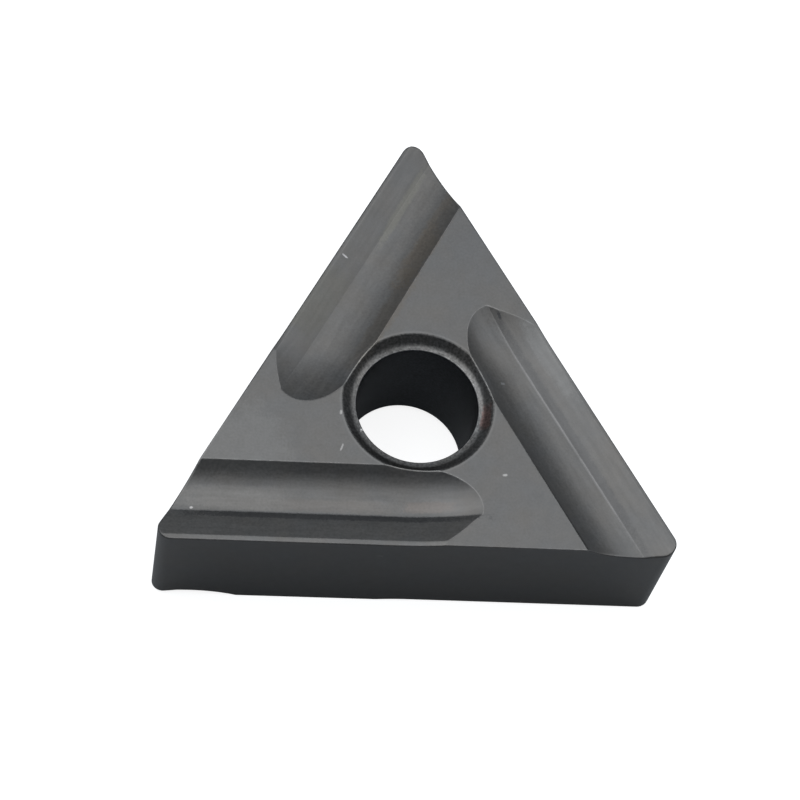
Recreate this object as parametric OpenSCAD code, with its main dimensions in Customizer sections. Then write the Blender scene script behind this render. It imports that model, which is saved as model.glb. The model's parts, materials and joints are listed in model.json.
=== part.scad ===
// Indexable turning insert, sintered in one piece: a 60 degree triangle with
// upright sides, a plain clamping hole and three chip grooves on each face.
// It is right handed and reversible: turned over, it looks the same.

/* [Body] */
// Diameter of the circle that touches all three sides
inscribed_d = 9.525; // [9:0.005:13]
// Thickness from face to face
thickness = 4.76; // [4:0.01:6.4]
// Radius of each cutting nose
nose_r = 0.4; // [0.2:0.05:1.2]

/* [Hole] */
// Diameter of the hole's straight wall
bore_d = 3.81; // [3:0.01:4.2]
// Width of the nearly flat ledge round the top of the wall
ledge_w = 0.155; // [0.05:0.005:0.3]
// Fall of the ledge from its outer to its inner edge
ledge_h = 0.03; // [0.01:0.005:0.15]
// Width of the sloping mouth outside the ledge
mouth_w = 0.3; // [0.1:0.005:0.4]
// Depth of the mouth, from the face to the ledge
mouth_h = 0.25; // [0.1:0.01:0.5]

/* [Chip groove] */
// Width of the flat land left along each cutting edge
land_w = 0.12; // [0.05:0.01:0.4]
// Slope of the rake face that falls away from the land, in degrees
rake_angle = 22.5; // [12:0.5:35]
// Greatest depth of the groove below the face
groove_h = 0.4; // [0.2:0.01:0.7]
// Distance from the cutting edge to the deepest line of the groove
floor_at = 1.27; // [1:0.01:1.6]
// Distance from the cutting edge to the groove's inner edge
groove_w = 2.62; // [2.2:0.01:3.2]

/* [Groove run-out] */
// Distance past the middle of the cutting edge where the groove starts to rise
runout_at = 0.7; // [0:0.05:2]
// Slope at which the groove runs out into the face, in degrees
runout_angle = 22.5; // [15:0.5:45]
// Height above the face of the axis that the groove bends up around
bend_r = 0.8; // [0.3:0.05:2]

/* [Hidden] */
$fn = 96;
sides = 3;
side_turn = 360 / sides;
half_side_turn = side_turn / 2;
side_r = inscribed_d / 2;
nose_at = (side_r - nose_r) / cos(half_side_turn); // from the hole's axis to a nose centre
edge_l = inscribed_d * tan(half_side_turn);        // a side between its two sharp corners
over = 0.5;                                        // how far a cut passes the surface it opens on
groove_top = bend_r / 2;                           // top of the groove cutter above the face
floor_half_w = groove_w - floor_at;
floor_r = (floor_half_w * floor_half_w + groove_h * groove_h) / (2 * groove_h);
profile_far = floor_at + floor_r + over;
profile_low = (profile_far - land_w) * tan(rake_angle);
slope_l = groove_h / sin(runout_angle);

// Outline of the insert: straight sides that meet the nose circles tangentially
module outline() {
    polygon([
        for (k = [0 : sides - 1], a = [-half_side_turn, half_side_turn])
            let (corner = 90 + k * side_turn)
            nose_at * [cos(corner), sin(corner)] + nose_r * [cos(corner + a), sin(corner + a)]
    ]);
    for (k = [0 : sides - 1])
        rotate(k * side_turn) translate([0, nose_at]) circle(nose_r);
}

// Section of a chip groove: x runs inward from the cutting edge, y up from the face.
// The rake face is a straight slope that ends where it meets the round floor.
module groove_section() {
    intersection() {
        translate([floor_at, floor_r - groove_h]) circle(floor_r);
        polygon([
            [land_w, groove_top],
            [land_w, 0],
            [profile_far, -profile_low],
            [profile_far, groove_top]
        ]);
    }
}

// The section drawn out along x
module groove_run(l) {
    rotate([90, 0, 90]) linear_extrude(l) groove_section();
}

// One whole groove, with the middle of its cutting edge at the origin and the face at z = 0.
// It is open at the corner on the -x side and bends up into the face on the +x side.
module groove() {
    translate([-edge_l / 2, 0, 0]) groove_run(edge_l / 2 + runout_at);
    translate([runout_at, 0, bend_r]) {
        rotate([-90, 90, 0]) rotate(-runout_angle)
            rotate_extrude(angle = runout_angle) translate([bend_r, 0]) rotate(90) groove_section();
        rotate([0, -runout_angle, 0]) translate([0, 0, -bend_r]) groove_run(slope_l);
    }
}

// The grooves of the upper face, one to each side
module face_grooves() {
    for (k = [0 : sides - 1])
        rotate(k * side_turn) translate([0, -side_r, thickness / 2]) groove();
}

// The stepped mouth of the hole in the upper face
module hole_mouth() {
    ledge_r = bore_d / 2 + ledge_w;
    mouth_r = ledge_r + mouth_w;
    translate([0, 0, thickness / 2]) rotate_extrude() polygon([
        [0, over],
        [mouth_r, over],
        [mouth_r, 0],
        [ledge_r, -mouth_h],
        [bore_d / 2, -mouth_h - ledge_h],
        [0, -mouth_h - ledge_h]
    ]);
}

module turning_insert() {
    color([0.43, 0.44, 0.45]) difference() {
        linear_extrude(thickness, center = true) outline();
        cylinder(h = thickness + 2 * over, d = bore_d, center = true);
        for (face = [0, 180]) rotate([0, face, 0]) {
            hole_mouth();
            face_grooves();
        }
    }
}

turning_insert();
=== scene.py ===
# Carbide turning insert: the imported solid's form with honed edges, ground grooves and a satin finish.
# The mesh is cut in millimetres by geometry nodes, then baked to metres in the solid's own place.
import json
import math

import bpy
from mathutils import Matrix, Vector


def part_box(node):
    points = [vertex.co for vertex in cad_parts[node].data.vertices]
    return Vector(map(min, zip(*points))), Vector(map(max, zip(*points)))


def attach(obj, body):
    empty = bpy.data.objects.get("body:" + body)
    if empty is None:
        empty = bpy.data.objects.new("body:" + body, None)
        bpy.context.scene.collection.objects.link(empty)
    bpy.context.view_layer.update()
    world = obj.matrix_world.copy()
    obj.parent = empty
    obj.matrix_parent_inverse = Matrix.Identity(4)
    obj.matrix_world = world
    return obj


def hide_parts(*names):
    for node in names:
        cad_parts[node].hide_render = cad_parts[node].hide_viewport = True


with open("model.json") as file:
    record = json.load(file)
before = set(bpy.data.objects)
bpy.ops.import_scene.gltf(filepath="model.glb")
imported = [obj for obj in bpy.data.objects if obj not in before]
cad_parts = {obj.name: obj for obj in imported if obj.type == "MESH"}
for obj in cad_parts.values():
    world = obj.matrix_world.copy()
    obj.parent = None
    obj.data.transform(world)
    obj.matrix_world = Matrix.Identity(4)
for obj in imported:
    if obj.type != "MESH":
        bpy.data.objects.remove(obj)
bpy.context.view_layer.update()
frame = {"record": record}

print("frame loaded")

# The frame gives the sizes that other parts meet: the sides, the two faces and the bore
mounts = {mount["name"]: mount for mount in frame["record"]["mounts"]}
mm = 0.001               # metres in a millimetre

insertSizes = {
    "Side Distance": -mounts["front_side"]["pos_m"][1] / mm,    # from the bore's axis to each side
    "Height": (mounts["clamp_face"]["pos_m"][2] - mounts["seat_face"]["pos_m"][2]) / mm,
    "Nose Radius": 0.4,
    "Bore Radius": mounts["bore"]["dims"]["r_mm"],
    "Ledge Width": 0.155,    # the nearly flat ring at the top of the bore
    "Ledge Fall": 0.03,
    "Mouth Width": 0.3,      # the slope between the ledge and the face
    "Mouth Depth": 0.25,
    "Floor Distance": 1.27,  # from the cutting edge to the deepest line of a groove
    "Rake": 18,              # slope of the rake face, in degrees
    "Foot Distance": 0.85,   # from the cutting edge to where the rake face steepens
    "Foot Slope": 22.5,      # slope of its steeper foot, in degrees
    "Wheel Radius": 6.5,     # of the grinding wheel, whose round the grooves run out in
    "Hone": 0.045,           # how wide a square edge is rounded
    "Mouth Hone": 0.09,      # the radius that the bore's mouth meets the face in
    "Mouth Cove": 0.4,       # the radius of the hollow between its slope and the ledge
}

# The grooves are ground one by one with the same wheel, so they differ a little in depth and tilt.
# The run-out starts at a place along the edge, counted from the edge's middle.
evenGroove = {
    "Land Width": 0.13,
    "Land Drop": 0.09,       # how far the wheel lowered the land itself
    "Depth": 0.375,
    "Groove Width": 2.64,
    "Run-out Start": -0.24,
    "Tilt": 0.4,             # degrees that the groove leans along its edge
}
sunkGroove = {
    "Land Width": 0.165,
    "Land Drop": 0.13,
    "Depth": 0.46,
    "Groove Width": 2.62,
    "Run-out Start": -0.45,
    "Tilt": 0,
}
tiltedGroove = {
    "Land Width": 0.13,
    "Land Drop": 0.08,
    "Depth": 0.42,
    "Groove Width": 2.62,
    "Run-out Start": -0.35,
    "Tilt": -0.6,
}
grooveCuts = {
    "upper": [sunkGroove, tiltedGroove, evenGroove],    # the front, right and left sides
    "lower": [evenGroove, evenGroove, evenGroove],
}

sideCount = 3
sideTurn = 360 / sideCount   # degrees from one side to the next

meshDetail = {
    "noseSteps": 12,
    "boreSteps": 96,
    "floorSteps": 16,
    "wheelSteps": 14,
    "lipSteps": 8,
    "shoulder": 0.25,        # width of the last strip of a groove's floor, which the mouth cuts into
    "overlap": 0.5,          # how far a cutter passes the surface it opens on
    "exitReach": 1.4,        # how far it follows the wheel's round, where 1 would end it in the face
    "lipLift": 0.002,        # height above the face where the mouth's cutter starts to widen
    "lipSpread": 0.03,       # and how much wider it is there
    "mergeDistance": 0.002,
    "plainMouth": 2,         # no edge is honed within so many mouth widths of the ledge
    "honedAngle": math.radians(50),     # edges flatter than this stay as ground
    "crispAngle": math.radians(12),     # curved stretches bend less than this at each edge
    "flatAngle": math.radians(1.5),
    "honeSegments": 3,
}


class Term:
    # A socket that can stand in a formula: each sum adds its math node to the tree
    def __init__(self, tree, socket):
        self.tree = tree
        self.socket = socket

    def calc(self, operation, *others):
        node = self.tree.nodes.new("ShaderNodeMath")
        node.operation = operation
        for slot, value in zip(node.inputs, (self, *others)):
            plug(self.tree, slot, value)
        return Term(self.tree, node.outputs[0])

    def __add__(self, other):
        return self.calc("ADD", other)

    def __sub__(self, other):
        return self.calc("SUBTRACT", other)

    def __mul__(self, other):
        return self.calc("MULTIPLY", other)

    def __truediv__(self, other):
        return self.calc("DIVIDE", other)

    def __neg__(self):
        return self.calc("MULTIPLY", -1)

    def __gt__(self, other):
        return self.calc("GREATER_THAN", other)

    def __lt__(self, other):
        return self.calc("LESS_THAN", other)

    def root(self):
        return self.calc("SQRT")

    def sin(self):
        return self.calc("SINE")

    def cos(self):
        return self.calc("COSINE")

    def tan(self):
        return self.calc("TANGENT")

    def radians(self):
        return self.calc("RADIANS")


def plug(tree, slot, value):
    # Links a socket or term to a slot, or sets the slot's own value
    value = value.socket if isinstance(value, Term) else value
    if isinstance(value, bpy.types.NodeSocket):
        tree.links.new(value, slot)
    else:
        slot.default_value = value


def addNode(tree, kind, inputs=None, **settings):
    # inputs goes by the socket's name, or by its number where names repeat
    node = tree.nodes.new(kind)
    for name, value in settings.items():
        setattr(node, name, value)
    for key, value in (inputs or {}).items():
        plug(tree, node.inputs[key], value)
    return node


def newTree(name, sizes):
    # An empty geometry tree with one named input for each size
    tree = bpy.data.node_groups.new(name, "GeometryNodeTree")
    tree.interface.new_socket("Geometry", in_out="OUTPUT", socket_type="NodeSocketGeometry")
    for label in sizes:
        tree.interface.new_socket(label, in_out="INPUT", socket_type="NodeSocketFloat")
    source = tree.nodes.new("NodeGroupInput")
    return tree, {label: Term(tree, source.outputs[label]) for label in sizes}


def endTree(tree, geometry):
    output = tree.nodes.new("NodeGroupOutput")
    plug(tree, output.inputs["Geometry"], geometry)


def place(tree, x=0, y=0, z=0):
    return addNode(tree, "ShaderNodeCombineXYZ", {"X": x, "Y": y, "Z": z}).outputs[0]


def chain(tree, places, closed=False):
    # A curve through places worked out in the tree
    line = addNode(tree, "GeometryNodeMeshLine", {"Count": len(places)})
    pick = addNode(tree, "GeometryNodeIndexSwitch", data_type="VECTOR")
    for _ in places[2:]:
        pick.index_switch_items.new()
    plug(tree, pick.inputs["Index"], tree.nodes.new("GeometryNodeInputIndex").outputs[0])
    for number, spot in enumerate(places):
        plug(tree, pick.inputs[number + 1], spot)
    moved = addNode(tree, "GeometryNodeSetPosition", {
        "Geometry": line.outputs[0], "Position": pick.outputs[0]})
    curve = addNode(tree, "GeometryNodeMeshToCurve", {"Mesh": moved.outputs[0]})
    cyclic = addNode(tree, "GeometryNodeSetSplineCyclic", {
        "Geometry": curve.outputs[0], "Cyclic": closed})
    return cyclic.outputs[0]


def sweep(tree, path, section, scale=1):
    return addNode(tree, "GeometryNodeCurveToMesh", {
        "Curve": path, "Profile Curve": section, "Scale": scale, "Fill Caps": True}).outputs[0]


def turned(tree, geometry, x=0, y=0, z=0, shift=None):
    node = addNode(tree, "GeometryNodeTransform", {"Geometry": geometry})
    node.inputs["Rotation"].default_value = (math.radians(x), math.radians(y), math.radians(z))
    if shift is not None:
        plug(tree, node.inputs["Translation"], shift)
    return node.outputs[0]


def buildGrooveTree():
    # One groove cutter: its cutting edge's middle at the origin, the edge along x, the face at z = 0.
    # A section of land, rake face, foot and round floor runs in from the corner and up out of the face.
    tree, size = newTree("chipGroove", [
        "Side Distance", "Rake", "Foot Distance", "Foot Slope", "Floor Distance", "Wheel Radius",
        "Land Width", "Land Drop", "Depth", "Groove Width", "Run-out Start"])
    over = meshDetail["overlap"]
    reach = size["Groove Width"] - size["Floor Distance"]
    floorR = (reach * reach + size["Depth"] * size["Depth"]) / (size["Depth"] * 2)
    centreZ = floorR - size["Depth"]
    footZ = (size["Land Width"] - size["Foot Distance"]) * size["Rake"].radians().tan() - size["Land Drop"]
    # where the foot's line meets the floor's circle
    fall = size["Foot Slope"].radians().tan()
    lineZ = footZ + fall * size["Foot Distance"] - centreZ
    half = size["Floor Distance"] + fall * lineZ
    spread = fall * fall + 1
    rest = size["Floor Distance"] * size["Floor Distance"] + lineZ * lineZ - floorR * floorR
    crease = (half + (half * half - spread * rest).root()) / spread
    startTurn = ((crease - size["Floor Distance"]) / floorR).calc("ARCSINE")
    endTurn = ((reach - meshDetail["shoulder"]) / floorR).calc("ARCSINE")
    section = [
        place(tree, -over, over),
        place(tree, -over, -size["Land Drop"]),
        place(tree, size["Land Width"], -size["Land Drop"]),
        place(tree, size["Foot Distance"], footZ)]
    steps = meshDetail["floorSteps"]
    for step in range(steps + 1):
        turn = startTurn + (endTurn - startTurn) * (step / steps)
        inFromEdge = size["Floor Distance"] + floorR * turn.sin()
        section.append(place(tree, inFromEdge, centreZ - floorR * turn.cos()))
    section.append(place(tree, size["Groove Width"]))
    wallTurn = ((centreZ - over) / floorR).calc("ARCCOSINE")
    section.append(place(tree, size["Floor Distance"] + floorR * wallTurn.sin(), over))
    # the wheel's axis stays level along the groove, then the groove follows the wheel's round up
    axisZ = size["Wheel Radius"] - size["Depth"]
    exitTurn = (axisZ / size["Wheel Radius"]).calc("ARCCOSINE") * meshDetail["exitReach"]
    # an edge between two sharp corners is twice the side distance times the root of three
    path = [place(tree, -size["Side Distance"] * math.sqrt(3) - over)]
    rounds = meshDetail["wheelSteps"]
    for step in range(rounds + 1):
        turn = exitTurn * (step / rounds)
        path.append(place(tree, size["Run-out Start"] + axisZ * turn.sin(), 0, axisZ - axisZ * turn.cos()))
    # a sweep along +x puts a section's +x on -y, so the section is turned round
    inward = turned(tree, chain(tree, section, closed=True), z=180)
    endTree(tree, sweep(tree, chain(tree, path), inward))
    return tree


def buildHoleTree():
    # The bore with its stepped mouth in both faces: a circle drawn along z, wider at each step.
    # The mouth meets the face, and the bore the ledge, in a short arc.
    tree, size = newTree("stepHole", [
        "Height", "Bore Radius", "Ledge Width", "Ledge Fall", "Mouth Width", "Mouth Depth", "Mouth Hone",
        "Mouth Cove", "Hone"])
    over = meshDetail["overlap"]
    face = size["Height"] / 2
    ledge = face - size["Mouth Depth"]
    wall = ledge - size["Ledge Fall"]
    ledgeR = size["Bore Radius"] + size["Ledge Width"]
    mouthR = ledgeR + size["Mouth Width"]
    rise = (size["Mouth Depth"] / size["Mouth Width"]).calc("ARCTANGENT")
    lipR = mouthR + size["Mouth Hone"] * (rise / 2).tan()
    arcs = meshDetail["lipSteps"]
    steps = [(face + over, lipR + over),
             (face + meshDetail["lipLift"], lipR + meshDetail["lipSpread"])]
    for step in range(1, arcs + 1):
        turn = rise * (step / arcs)
        steps.append((face - size["Mouth Hone"] * (-turn.cos() + 1),
                      lipR - size["Mouth Hone"] * turn.sin()))
    # the hollow runs from the slope's turn to the ledge's
    ledgeTurn = (size["Ledge Fall"] / size["Ledge Width"]).calc("ARCTANGENT")
    cove = size["Mouth Cove"]
    tangent = cove * ((rise - ledgeTurn) / 2).tan()
    coveZ = ledge + tangent * rise.sin() + cove * rise.cos()
    coveR = ledgeR + tangent * rise.cos() - cove * rise.sin()
    coves = arcs // 2
    for step in range(coves + 1):
        turn = rise + (ledgeTurn - rise) * (step / coves)
        steps.append((coveZ - cove * turn.cos(), coveR + cove * turn.sin()))
    for step in range(arcs + 1):
        turn = math.radians(90) * step / arcs
        steps.append((wall - size["Hone"] * (1 - math.cos(turn)),
                      size["Bore Radius"] + size["Hone"] * (1 - math.sin(turn))))
    steps += [(-height, radius) for height, radius in reversed(steps)]
    path = chain(tree, [place(tree, z=height) for height, _ in reversed(steps)])
    pick = addNode(tree, "GeometryNodeIndexSwitch", data_type="FLOAT")
    for _ in steps[2:]:
        pick.index_switch_items.new()
    plug(tree, pick.inputs["Index"], tree.nodes.new("GeometryNodeInputIndex").outputs[0])
    for number, (_, radius) in enumerate(steps):
        plug(tree, pick.inputs[number + 1], radius)
    circle = addNode(tree, "GeometryNodeCurvePrimitiveCircle", {
        "Resolution": meshDetail["boreSteps"], "Radius": 1})
    endTree(tree, sweep(tree, path, circle.outputs[0], scale=pick.outputs[0]))
    return tree


def addGroup(tree, group, size, values=None):
    # Places a tree inside another; inputs that both have are linked, values fills in the rest
    node = addNode(tree, "GeometryNodeGroup", node_tree=group)
    for slot in node.inputs:
        plug(tree, slot, (values or {}).get(slot.name, size.get(slot.name)))
    return node.outputs[0]


def buildInsertTree(material):
    tree, size = newTree("turningInsert", insertSizes)
    # a circle of three points is a triangle, turned here to put a corner on +y
    corners = addNode(tree, "GeometryNodeCurvePrimitiveCircle", {
        "Resolution": sideCount, "Radius": size["Side Distance"] * 2})
    outline = addNode(tree, "GeometryNodeFilletCurve", {
        "Curve": turned(tree, corners.outputs[0], z=90), "Count": meshDetail["noseSteps"],
        "Radius": size["Nose Radius"]}, mode="POLY")
    axis = addNode(tree, "GeometryNodeCurvePrimitiveLine", {
        "Start": place(tree, z=size["Height"] / -2), "End": place(tree, z=size["Height"] / 2)})
    body = sweep(tree, axis.outputs[0], outline.outputs[0])
    cutters = [addGroup(tree, buildHoleTree(), size)]
    groove = buildGrooveTree()
    edge = place(tree, 0, -size["Side Distance"], size["Height"] / 2)
    for face, flip in (("upper", 0), ("lower", 180)):
        for side, cut in enumerate(grooveCuts[face]):
            cutter = turned(tree, addGroup(tree, groove, size, cut), y=cut["Tilt"], shift=edge)
            cutters.append(turned(tree, turned(tree, cutter, z=sideTurn * side), y=flip))
    carve = addNode(tree, "GeometryNodeMeshBoolean", {"Mesh 1": body}, operation="DIFFERENCE", solver="EXACT")
    for cutter in cutters:
        tree.links.new(cutter, carve.inputs["Mesh 2"])
    solid = addNode(tree, "GeometryNodeMergeByDistance", {
        "Geometry": carve.outputs[0], "Distance": meshDetail["mergeDistance"]})
    smooth = addNode(tree, "GeometryNodeSetShadeSmooth", {"Geometry": solid.outputs[0], "Shade Smooth": True})
    # only the square edges along the sides are honed; the flatter ones stay as ground
    angle = Term(tree, addNode(tree, "GeometryNodeInputMeshEdgeAngle").outputs["Unsigned Angle"])
    spot = addNode(tree, "ShaderNodeSeparateXYZ", {0: addNode(tree, "GeometryNodeInputPosition").outputs[0]})
    x, y, z = (Term(tree, spot.outputs[axisName]) for axisName in "XYZ")
    plainR = size["Bore Radius"] + size["Ledge Width"] + size["Mouth Width"] * meshDetail["plainMouth"]
    outside = (x * x + y * y).root() > plainR
    honed = (angle > meshDetail["honedAngle"]) * outside
    marked = addNode(tree, "GeometryNodeStoreNamedAttribute", {
        "Geometry": smooth.outputs[0], "Name": "bevel_weight_edge", "Value": honed},
        domain="EDGE", data_type="FLOAT")
    # the others are kept crisp, and so is all that borders on a flat face
    onFace = (z.calc("ABSOLUTE") > size["Height"] / 2 - meshDetail["mergeDistance"] / 2) * \
        (angle > meshDetail["flatAngle"])
    crisp = ((angle > meshDetail["crispAngle"]) + onFace) * (-honed + 1) > 0.5
    marked = addNode(tree, "GeometryNodeSetShadeSmooth", {
        "Geometry": marked.outputs[0], "Selection": crisp, "Shade Smooth": False}, domain="EDGE")
    real = addNode(tree, "GeometryNodeRealizeInstances", {"Geometry": marked.outputs[0]})
    dressed = addNode(tree, "GeometryNodeSetMaterial", {"Geometry": real.outputs[0], "Material": material})
    endTree(tree, dressed.outputs[0])
    return tree


def setInputs(modifier, sizes):
    # A modifier's inputs go by the socket's identifier
    for item in modifier.node_group.interface.items_tree:
        if item.in_out == "INPUT":
            modifier[item.identifier] = float(sizes[item.name])


def bakeMesh(source, name):
    # The evaluated result as a plain mesh in metres
    graph = bpy.context.evaluated_depsgraph_get()
    mesh = bpy.data.meshes.new_from_object(source.evaluated_get(graph), depsgraph=graph)
    mesh.transform(Matrix.Scale(mm, 4))
    mesh.name = name
    piece = bpy.data.objects.new(name, mesh)
    bpy.context.scene.collection.objects.link(piece)
    bpy.data.objects.remove(source)
    return piece


def buildInsert(material):
    tree = buildInsertTree(material)
    source = bpy.data.objects.new("insertSource", bpy.data.meshes.new("insertSource"))
    bpy.context.scene.collection.objects.link(source)
    form = source.modifiers.new("form", "NODES")
    form.node_group = tree
    setInputs(form, insertSizes)
    hone = source.modifiers.new("hone", "BEVEL")
    hone.width = insertSizes["Hone"]
    hone.segments = meshDetail["honeSegments"]
    hone.limit_method = "WEIGHT"
    hone.use_clamp_overlap = False
    hone.harden_normals = True
    piece = bakeMesh(source, "honed_insert")
    print("insert mesh:", len(piece.data.vertices), "points,", len(piece.data.polygons), "faces")
    return piece


carbideLook = {
    "warmShade": (0.0910, 0.0898, 0.0880),    # the ground carbide varies between these two
    "coolShade": (0.0880, 0.0895, 0.0908),
    "tintScale": 0.9,            # per millimetre, of the noise that mixes them
    "tintDetail": 4.0,
    "tintSpread": 0.15,          # how far from nought the noise gives one shade alone
    "boreShade": (0.0610, 0.0660, 0.0740),    # the bore, painted darker and bluer as the shade deep in the hole
    "roughness": (0.33, 0.43),   # in the grain's hollows and on its tops
    "grainSpread": 0.25,         # how far from nought the grain's height goes
    "edgeRadius": 0.07,          # millimetres
    "edgeShine": 0.9,            # how much lighter edges are painted: worn, and a painted highlight on their rounding
    "rimShine": 0.16,            # and the face just outside the mouth, rubbed and painted with a highlight along the rim
    "mouthShades": (1.25, 0.7),  # the ledge painted lighter as lit, and the slope above it painted darker as shaded
    "lines": 0.35,               # unevenness of the tone by grinding marks in the grooves
    "mouthGrain": 1.5,           # by the rough sintered grain of the mouth
    "bump": 0.35,
    "bumpHeight": 0.002,         # millimetres
}

# Fractal noise of three sizes: how many to the millimetre, and how much each changes the tone
grainSizes = {
    "fine": (13, 0.45),
    "mottle": (3.5, 0.16),
    "cloud": (0.35, 0.06),
}

grindMarks = {
    "across": 7,                 # noise to the millimetre
    "along": 0.7,
    "detail": 3.0,
    "openEnd": 0.13,             # radians that the border between two grooves leans, each open at one end
    "tie": 0.0001,               # how near a side's score comes to the best and still counts
}

edgeSigns = {
    "samples": 8,
    "firstMatch": 0.993,         # an edge shows where the rounded normal matches the plain one less
    "fullMatch": 0.965,          # than the first, and in full from the second
    "patchScale": 5,             # the wear and painted highlight come in patches, so many to the millimetre
    "patchDepth": 2.5,
}

# Where each part of the surface lies, in millimetres, and how far it turns from the faces
zones = {
    "boreMargin": 0.02,
    "mouthMargin": 0.04,
    "mouthFacing": -0.05,        # the outward part of the normal, less than this in the mouth
    "grooveDepth": 0.01,         # below the face
    "grooveFacing": 0.5,         # the upright part of the normal, more than this in a groove
    "rubbedWidths": (0.11, 0.07),    # outside the rim, where the rubbing and painted highlight end and where they are full
    "slopeStart": 0.02,          # outside the ledge, where its painted light starts to fade
    "slopeFull": 0.2,            # inside the rim, where the slope's painted shade is full
}

markEdges = {
    "coarseScale": 4,            # ragged outlines from coarse noise
    "coarseDetail": 3.0,
    "fineScale": 20,             # and fine noise
    "fineReach": 1.3,
    "solid": 0.25,               # a mark is whole within this share of its size
}

# Stains, worn strips and nicks, with painted shade and painted highlights along the grooves' creases and
# ends. Each has its place in millimetres, its turn in degrees,
# its half length, width and height in millimetres, its colour and its strength.
marks = [
    ((0.55, 5.97, 2.1), 60, (2.6, 0.4, 0.6), (0.098, 0.078, 0.055), 0.4),
    ((-1.0, 2.9, 2.2), 60, (2.2, 0.35, 2), (0.09, 0.079, 0.066), 0.4),
    ((-3.6, -3.4, 1.93), 0, (3.4, 0.25, 2), (0.106, 0.1, 0.095), 0.5),
    ((0.3, -3.36, 1.95), 0, (0.9, 0.22, 1), (0.118, 0.106, 0.099), 0.5),
    ((-5.7, -3.25, 1.93), 0, (2.0, 0.45, 0.5), (0.106, 0.105, 0.103), 0.75),
    ((-3.1, 3.5, 2.1), 60, (1.6, 0.7, 1), (0.088, 0.088, 0.08), 0.5),
    ((1.7, 5.8, 2.38), -60, (2.0, 1.0, 0.3), (0.086, 0.089, 0.093), 0.5),
    ((-5.5, -1.7, 2.38), 30, (1.7, 1.5, 0.3), (0.104, 0.105, 0.105), 0.8),
    ((2.13, -0.36, 2.2), 80, (0.5, 0.17, 1), (0.12, 0.062, 0.054), 0.55),
    # a painted highlight along the left groove's crease, near the far corner
    ((-0.37, 7.0, 2.05), 61.5, (1.9, 0.17, 0.5), (0.108, 0.108, 0.1), 0.8),
    # painted shade along the front groove's crease
    ((-2.7, -3.77, 1.95), 0, (5.4, 0.14, 0.7), (0.054, 0.055, 0.057), 0.9),
    # painted shade along the right groove's crease, with a painted highlight on the crease itself
    ((4.784, -0.702, 2.1), 120, (5.0, 0.19, 0.6), (0.073, 0.074, 0.0755), 0.9),
    ((4.672, -0.767, 2.1), 120, (4.9, 0.045, 0.6), (0.124, 0.125, 0.126), 0.65),
    # the right groove's rake painted lighter towards its run-out, as lit
    ((4.25, 1.75, 2.2), 120, (1.7, 0.4, 1), (0.108, 0.11, 0.111), 0.8),
    # painted shade in the notch where the right groove's crease ends
    ((2.63, 3.15, 2.2), 115, (0.16, 0.05, 0.5), (0.04, 0.042, 0.045), 0.8),
    ((-2.25, 5.05, 2.25), -35, (0.12, 0.035, 0.5), (0.3, 0.3, 0.31), 1),
    ((-2.39, -1.61, 2.38), 70, (0.14, 0.035, 0.5), (0.2, 0.2, 0.2), 1),
    ((2.65, -2.35, 2.38), 10, (0.09, 0.05, 0.5), (0.23, 0.23, 0.23), 1),
    ((-6.95, -3.59, 1.95), 20, (0.06, 0.045, 0.5), (0.27, 0.27, 0.27), 1),
    ((-2.41, -0.43, 2.38), 80, (0.08, 0.05, 0.5), (0.2, 0.2, 0.2), 1),
    ((-1.76, -0.9, 2.1), 40, (0.07, 0.05, 0.5), (0.35, 0.35, 0.35), 1),
    ((-1.13, -4.76, 1.39), 0, (0.13, 0.5, 0.035), (0.15, 0.15, 0.15), 1),
    # a nick at the edge of the notch by the far corner, painted lighter as its highlight
    ((1.08, 7.65, 2.0), 0, (0.07, 0.05, 0.2), (0.16, 0.165, 0.17), 1),
    ((2.72, 0.9, 2.1), 0, (0.07, 0.05, 0.5), (0.15, 0.155, 0.16), 1),
]


def newShaderGroup(name, inputs, outputs):
    # inputs and outputs are labels with their kinds
    tree = bpy.data.node_groups.new(name, "ShaderNodeTree")
    for label, kind in inputs.items():
        tree.interface.new_socket(label, in_out="INPUT", socket_type=kind)
    for label, kind in outputs.items():
        tree.interface.new_socket(label, in_out="OUTPUT", socket_type=kind)
    source = tree.nodes.new("NodeGroupInput")
    target = tree.nodes.new("NodeGroupOutput")
    return tree, source.outputs, target.inputs


def noise(tree, vector, scale, detail=2.0):
    # Fractal noise, centred on nought
    node = addNode(tree, "ShaderNodeTexNoise", {"Vector": vector, "Scale": scale, "Detail": detail})
    return Term(tree, node.outputs[0]) - 0.5


def buildGrain():
    # Tone near 1 from fine grain, mottling and broad clouds, and the fine grain's height
    tree, given, result = newShaderGroup(
        "carbideGrain", {"Vector": "NodeSocketVector"},
        {"Tone": "NodeSocketFloat", "Height": "NodeSocketFloat"})
    layers = {name: noise(tree, given["Vector"], scale) for name, (scale, share) in grainSizes.items()}
    fine, mottle, cloud = (layers[name] * share for name, (scale, share) in grainSizes.items())
    plug(tree, result["Tone"], fine + mottle + cloud + 1)
    plug(tree, result["Height"], layers["fine"])
    return tree


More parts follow.
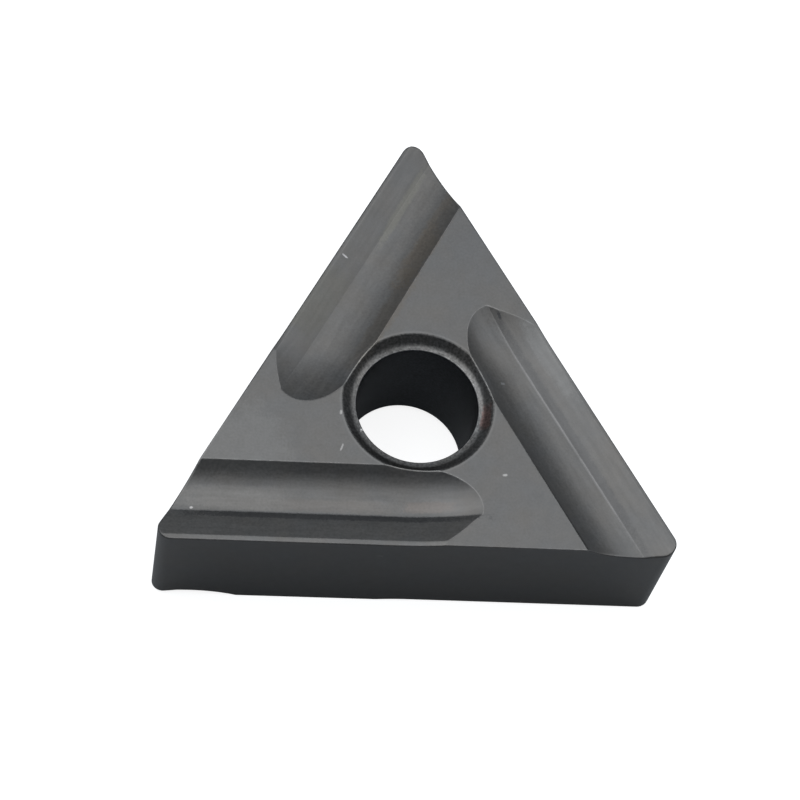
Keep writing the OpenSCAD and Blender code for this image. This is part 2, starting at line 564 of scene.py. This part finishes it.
def buildGrindLines():
    # Lines that run along the groove's own side: noise drawn out along it
    tree, given, result = newShaderGroup(
        "grindLines", {"Vector": "NodeSocketVector"}, {"Lines": "NodeSocketFloat"})
    # the lower face is the upper one turned over
    spot = addNode(tree, "ShaderNodeSeparateXYZ", {0: given["Vector"]})
    x, y, z = (Term(tree, spot.outputs[name]) for name in "XYZ")
    upright = place(tree, x * z.calc("SIGN"), y, z)
    # reaches are the distances towards each side, and the best score tells whose groove this is
    reaches, scores = [], []
    for side in range(sideCount):
        outward = math.radians(sideTurn * side - 90)
        for turn, values in ((outward, reaches), (outward - grindMarks["openEnd"], scores)):
            dot = addNode(tree, "ShaderNodeVectorMath", {
                0: upright, 1: (math.cos(turn), math.sin(turn), 0)}, operation="DOT_PRODUCT")
            values.append(Term(tree, dot.outputs["Value"]))
    best = scores[0].calc("MAXIMUM", scores[1]).calc("MAXIMUM", scores[2]) - grindMarks["tie"]
    front, right, left = ((score > best) * reach for score, reach in zip(scores, reaches))
    along = grindMarks["along"]
    drawn = place(tree, (front + right + left) * grindMarks["across"], x * along, y * along)
    plug(tree, result["Lines"], noise(tree, drawn, 1, grindMarks["detail"]))
    return tree


def buildEdgeWearAndHighlight():
    # Where the surface turns sharply within the radius, for edges that are worn and painted with a highlight,
    # and the normal of the edge as if rounded
    tree, given, result = newShaderGroup(
        "edgeWear", {"Vector": "NodeSocketVector", "Radius": "NodeSocketFloat"},
        {"Edge": "NodeSocketFloat", "Normal": "NodeSocketVector"})
    rounded = addNode(tree, "ShaderNodeBevel", {"Radius": given["Radius"]}, samples=edgeSigns["samples"])
    plain = tree.nodes.new("ShaderNodeNewGeometry").outputs["Normal"]
    match = addNode(tree, "ShaderNodeVectorMath", {
        0: rounded.outputs[0], 1: plain}, operation="DOT_PRODUCT")
    turn = addNode(tree, "ShaderNodeMapRange", {
        "Value": match.outputs["Value"], "From Min": edgeSigns["firstMatch"],
        "From Max": edgeSigns["fullMatch"], "To Min": 0, "To Max": 1})
    patches = noise(tree, given["Vector"], edgeSigns["patchScale"]) * edgeSigns["patchDepth"] + 1
    plug(tree, result["Edge"], Term(tree, turn.outputs[0]) * patches)
    plug(tree, result["Normal"], rounded.outputs[0])
    return tree


def buildMark():
    # A ragged patch round a place, drawn out along its turn
    tree, given, result = newShaderGroup("mark", {
        "Vector": "NodeSocketVector", "Place": "NodeSocketVector", "Turn": "NodeSocketFloat",
        "Size": "NodeSocketVector"}, {"Mask": "NodeSocketFloat"})
    away = addNode(tree, "ShaderNodeVectorMath", {
        0: given["Vector"], 1: given["Place"]}, operation="SUBTRACT")
    level = addNode(tree, "ShaderNodeVectorRotate", {
        "Vector": away.outputs[0], "Angle": given["Turn"]}, rotation_type="Z_AXIS")
    ratio = addNode(tree, "ShaderNodeVectorMath", {
        0: level.outputs[0], 1: given["Size"]}, operation="DIVIDE")
    squared = addNode(tree, "ShaderNodeVectorMath", {
        0: ratio.outputs[0], 1: ratio.outputs[0]}, operation="MULTIPLY")
    length = addNode(tree, "ShaderNodeVectorMath", {0: squared.outputs[0]}, operation="LENGTH")
    coarse = noise(tree, given["Vector"], markEdges["coarseScale"], markEdges["coarseDetail"])
    fine = noise(tree, given["Vector"], markEdges["fineScale"]) * markEdges["fineReach"]
    soft = addNode(tree, "ShaderNodeMapRange", {
        "Value": Term(tree, length.outputs["Value"]) + coarse + fine, "From Min": 1,
        "From Max": markEdges["solid"], "To Min": 0, "To Max": 1}, interpolation_type="SMOOTHSTEP")
    plug(tree, result["Mask"], soft.outputs[0])
    return tree


def buildCarbide():
    look = carbideLook
    material = bpy.data.materials.new("satinCarbide")
    material.use_nodes = True
    tree = material.node_tree
    shader = tree.nodes["Principled BSDF"]
    shader.inputs["Metallic"].default_value = 1
    coordinates = tree.nodes.new("ShaderNodeTexCoord").outputs["Object"]
    spotNode = addNode(tree, "ShaderNodeVectorMath", {0: coordinates, "Scale": 1 / mm}, operation="SCALE")
    spot = spotNode.outputs[0]
    apart = addNode(tree, "ShaderNodeSeparateXYZ", {0: spot})
    x, y, z = (Term(tree, apart.outputs[name]) for name in "XYZ")
    grain = addNode(tree, "ShaderNodeGroup", {"Vector": spot}, node_tree=buildGrain())
    lines = addNode(tree, "ShaderNodeGroup", {"Vector": spot}, node_tree=buildGrindLines())
    edgeWearAndShine = addNode(tree, "ShaderNodeGroup", {
        "Vector": spot, "Radius": look["edgeRadius"] * mm}, node_tree=buildEdgeWearAndHighlight())

    # the mouth and bore face the axis, the grooves lie just under the faces
    size = insertSizes
    below = z.calc("ABSOLUTE") * -1 + size["Height"] / 2
    fromAxis = (x * x + y * y).root()
    rim = size["Bore Radius"] + size["Ledge Width"] + size["Mouth Width"]
    normal = tree.nodes.new("ShaderNodeNewGeometry").outputs["Normal"]
    facing = addNode(tree, "ShaderNodeSeparateXYZ", {0: normal})
    outward = (Term(tree, facing.outputs["X"]) * x + Term(tree, facing.outputs["Y"]) * y) / fromAxis
    inBore = fromAxis < size["Bore Radius"] + zones["boreMargin"]
    inMouth = (fromAxis < rim + zones["mouthMargin"]) * (outward < zones["mouthFacing"])
    upward = Term(tree, facing.outputs["Z"]).calc("ABSOLUTE")
    inGroove = (below > zones["grooveDepth"]) * (upward > zones["grooveFacing"]) * (-inMouth + 1)
    # a ring by the rim, rubbed and painted with a highlight
    rimRubbedAndHighlight = addNode(tree, "ShaderNodeMapRange", {
        "Value": fromAxis, "From Min": rim + zones["rubbedWidths"][0],
        "From Max": rim + zones["rubbedWidths"][1], "To Min": 0, "To Max": look["rimShine"]})

    # each step makes the tone a little lighter or darker
    tone = Term(tree, grain.outputs["Tone"])
    tone = tone * (Term(tree, lines.outputs[0]) * inGroove * look["lines"] + 1)
    tone = tone * (Term(tree, grain.outputs["Height"]) * inMouth * look["mouthGrain"] + 1)
    # edges painted lighter: worn, and a painted highlight along their rounding
    tone = tone * (Term(tree, edgeWearAndShine.outputs["Edge"]) * look["edgeShine"] + 1)
    # the face by the rim painted lighter: rubbed, and a painted highlight
    tone = tone * (Term(tree, rimRubbedAndHighlight.outputs[0]) * (-inMouth + 1) + 1)
    # painted light on the ledge, fading to painted shade on the mouth's slope
    slope = addNode(tree, "ShaderNodeMapRange", {
        "Value": fromAxis, "From Min": size["Bore Radius"] + size["Ledge Width"] + zones["slopeStart"],
        "From Max": rim - zones["slopeFull"], "To Min": look["mouthShades"][0] - 1,
        "To Max": look["mouthShades"][1] - 1})
    tone = tone * (Term(tree, slope.outputs[0]) * inMouth * (-inBore + 1) + 1)

    tint = addNode(tree, "ShaderNodeMapRange", {
        "Value": noise(tree, spot, look["tintScale"], look["tintDetail"]), "From Min": -look["tintSpread"],
        "From Max": look["tintSpread"], "To Min": 0, "To Max": 1})
    # the sockets 6 and 7 of a Mix node are its two colours, and output 2 is the mixed one
    ground = addNode(tree, "ShaderNodeMix", {
        "Factor": tint.outputs[0], 6: (*look["warmShade"], 1), 7: (*look["coolShade"], 1)}, data_type="RGBA")
    # the bore painted darker and bluer, as its shade
    whole = addNode(tree, "ShaderNodeMix", {
        "Factor": inBore, 6: ground.outputs[2], 7: (*look["boreShade"], 1)}, data_type="RGBA")
    colour = whole.outputs[2]
    markTree = buildMark()
    for where, turn, spread, shade, strength in marks:
        mark = addNode(tree, "ShaderNodeGroup", {
            "Vector": spot, "Place": where, "Turn": -math.radians(turn), "Size": spread}, node_tree=markTree)
        blend = addNode(tree, "ShaderNodeMix", {
            "Factor": Term(tree, mark.outputs["Mask"]) * strength, 6: colour, 7: (*shade, 1)},
            data_type="RGBA")
        colour = blend.outputs[2]
    toned = addNode(tree, "ShaderNodeVectorMath", {0: colour, "Scale": tone}, operation="SCALE")
    plug(tree, shader.inputs["Base Color"], toned.outputs[0])

    rough = addNode(tree, "ShaderNodeMapRange", {
        "Value": grain.outputs["Height"], "From Min": -look["grainSpread"], "From Max": look["grainSpread"],
        "To Min": look["roughness"][0], "To Max": look["roughness"][1]})
    plug(tree, shader.inputs["Roughness"], rough.outputs[0])
    bump = addNode(tree, "ShaderNodeBump", {
        "Strength": look["bump"], "Distance": look["bumpHeight"] * mm, "Height": grain.outputs["Height"],
        "Normal": edgeWearAndShine.outputs["Normal"]})
    plug(tree, shader.inputs["Normal"], bump.outputs[0])
    print("carbide shader:", len(tree.nodes), "nodes")
    return material


cameraView = {
    "aim": (-0.2768, 1.1473, 0),   # millimetres, on the plane halfway up the insert
    "distance": 92.22,             # millimetres, from the aim
    "elevation": 64.5,
    "azimuth": 15.29,              # turned from looking along +Y towards +X
    "roll": 16.06,
    "lens": 130.19,
    "sensor": 36,
    "clip": (0.001, 10),           # metres
}


def buildCamera():
    view = cameraView
    camera = bpy.data.objects.new("camera", bpy.data.cameras.new("camera"))
    bpy.context.scene.collection.objects.link(camera)
    camera.data.lens = view["lens"]
    camera.data.sensor_width = view["sensor"]
    camera.data.clip_start, camera.data.clip_end = view["clip"]
    turn = Matrix.Rotation(-math.radians(view["azimuth"]), 4, "Z")
    tilt = Matrix.Rotation(math.radians(90 - view["elevation"]), 4, "X")
    roll = Matrix.Rotation(math.radians(view["roll"]), 4, "Z")
    back = Matrix.Translation((0, 0, view["distance"] * mm))
    camera.matrix_world = Matrix.Translation(Vector(view["aim"]) * mm) @ turn @ tilt @ roll @ back
    bpy.context.scene.camera = camera


studio = {
    "floorSize": 4,              # metres
    "floorGap": 0.00001,         # keeps the floor just clear of the lower face
    "floorShade": (0.355, 0.37, 0.385, 1),    # what the floor gives back to the object
    "floorGlow": 0.86,           # what it adds for the camera alone, so that it stays near white
    "floorRoughness": 0.9,
    "roomShade": (0.96, 1, 1.04, 1),
    "frontRoom": 0.25,           # the dim room round the lights, from behind the camera
    "backRoom": 0.56,            # to beyond the insert
    "roomReach": (-0.8, 0.9),    # where it starts and ends to grow lighter, along the way looked in
    "boxHeight": 0.15,
}

# The soft boxes overhead: the middle of each in metres, its width and depth, and its brightness
softBoxes = {
    "leftRear": ((-0.08, 0.06), (0.08, 0.1), 3),
    "middleRear": ((0.02, 0.06), (0.12, 0.1), 1.75),
    "rightRear": ((0.12, 0.06), (0.08, 0.1), 2),
    "leftFront": ((-0.04, -0.02), (0.16, 0.06), 2),
    "rightFront": ((0.12, -0.02), (0.08, 0.06), 1.5),
}


def buildStage(floorZ):
    half = studio["floorSize"] / 2
    floor = bpy.data.objects.new("floor", bpy.data.meshes.new("floor"))
    corners = [(x * half, y * half, floorZ) for x, y in ((-1, -1), (1, -1), (1, 1), (-1, 1))]
    floor.data.from_pydata(corners, [], [(0, 1, 2, 3)])
    bpy.context.scene.collection.objects.link(floor)
    material = bpy.data.materials.new("paleFloor")
    material.use_nodes = True
    tree = material.node_tree
    shader = tree.nodes["Principled BSDF"]
    shader.inputs["Base Color"].default_value = studio["floorShade"]
    shader.inputs["Roughness"].default_value = studio["floorRoughness"]
    shader.inputs["Specular IOR Level"].default_value = 0
    shader.inputs["Emission Color"].default_value = (1, 1, 1, 1)
    seen = tree.nodes.new("ShaderNodeLightPath").outputs["Is Camera Ray"]
    glow = addNode(tree, "ShaderNodeMath", {0: seen, 1: studio["floorGlow"]}, operation="MULTIPLY")
    plug(tree, shader.inputs["Emission Strength"], glow.outputs[0])
    floor.data.materials.append(material)


def buildLights():
    # A room that grows lighter towards the back, and soft boxes overhead
    world = bpy.data.worlds.new("studio")
    bpy.context.scene.world = world
    world.use_nodes = True
    tree = world.node_tree
    looked = tree.nodes.new("ShaderNodeTexCoord").outputs["Generated"]
    way = addNode(tree, "ShaderNodeSeparateXYZ", {0: looked})
    room = addNode(tree, "ShaderNodeMapRange", {
        "Value": way.outputs["Y"], "From Min": studio["roomReach"][0], "From Max": studio["roomReach"][1],
        "To Min": studio["frontRoom"], "To Max": studio["backRoom"]}, interpolation_type="SMOOTHSTEP")
    plug(tree, tree.nodes["Background"].inputs["Strength"], room.outputs[0])
    tree.nodes["Background"].inputs["Color"].default_value = studio["roomShade"]
    for name, (spot, size, brightness) in softBoxes.items():
        light = bpy.data.lights.new(name, "AREA")
        light.shape = "RECTANGLE"
        light.size, light.size_y = size
        light.energy = brightness * math.pi * light.size * light.size_y
        lamp = bpy.data.objects.new(name, light)
        lamp.location = (*spot, studio["boxHeight"])
        lamp.visible_camera = False
        bpy.context.scene.collection.objects.link(lamp)


carbide = buildCarbide()
insert = buildInsert(carbide)
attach(insert, "root")
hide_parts("turning_insert")

buildCamera()
buildLights()
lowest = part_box("turning_insert")[0]
buildStage(lowest.z - studio["floorGap"])
bpy.context.scene.view_settings.view_transform = "Standard"
print("camera, lights and floor placed")
